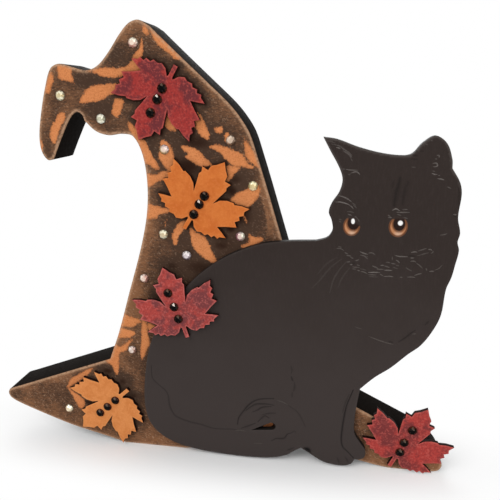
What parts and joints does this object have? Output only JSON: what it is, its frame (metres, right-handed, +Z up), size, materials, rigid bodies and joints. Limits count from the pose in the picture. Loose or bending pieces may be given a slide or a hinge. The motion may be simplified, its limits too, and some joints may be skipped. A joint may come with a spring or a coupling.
{
  "type": "witch hat shelf ornament",
  "caption": "Free-standing cut-out board in the outline of a witch hat with a folded tip, carrying a sitting cat panel, maple leaves and flat-back stones.",
  "frame": {"origin": "middle of the part's width and depth, at floor level", "axes": "+X to the viewer's right, +Y away from the viewer towards the back of the board, +Z up"},
  "size_m": [0.2098, 0.0244, 0.19],
  "materials": {
    "painted_board": "dry-brushed brown paint over black with stencilled foliage, black sides",
    "painted_cat": "satin near-black paint with engraved lines",
    "leaf_red": "mottled red paint",
    "leaf_orange": "matt orange paint",
    "black_stone": "faceted black",
    "crystal": "faceted clear with a pearly foil back"
  },
  "bodies": {
    "root": {"hat_board": "painted_board", "cat_panel": "painted_cat", "leaf_top": "leaf_red", "leaf_crown": "leaf_orange", "leaf_back": "leaf_red", "leaf_brim": "leaf_orange", "leaf_tip": "leaf_red", "black_stone_01": "black_stone", "black_stone_02": "black_stone", "black_stone_03": "black_stone", "black_stone_04": "black_stone", "black_stone_05": "black_stone", "black_stone_06": "black_stone", "black_stone_07": "black_stone", "black_stone_08": "black_stone", "black_stone_09": "black_stone", "black_stone_10": "black_stone", "black_stone_11": "black_stone", "black_stone_12": "black_stone", "black_stone_13": "black_stone", "black_stone_14": "black_stone", "black_stone_15": "black_stone", "crystal_01": "crystal", "crystal_02": "crystal", "crystal_03": "crystal", "crystal_04": "crystal", "crystal_05": "crystal", "crystal_06": "crystal", "crystal_07": "crystal", "crystal_08": "crystal", "crystal_09": "crystal", "crystal_10": "crystal", "crystal_11": "crystal", "crystal_12": "crystal"}
  },
  "joints": []
}
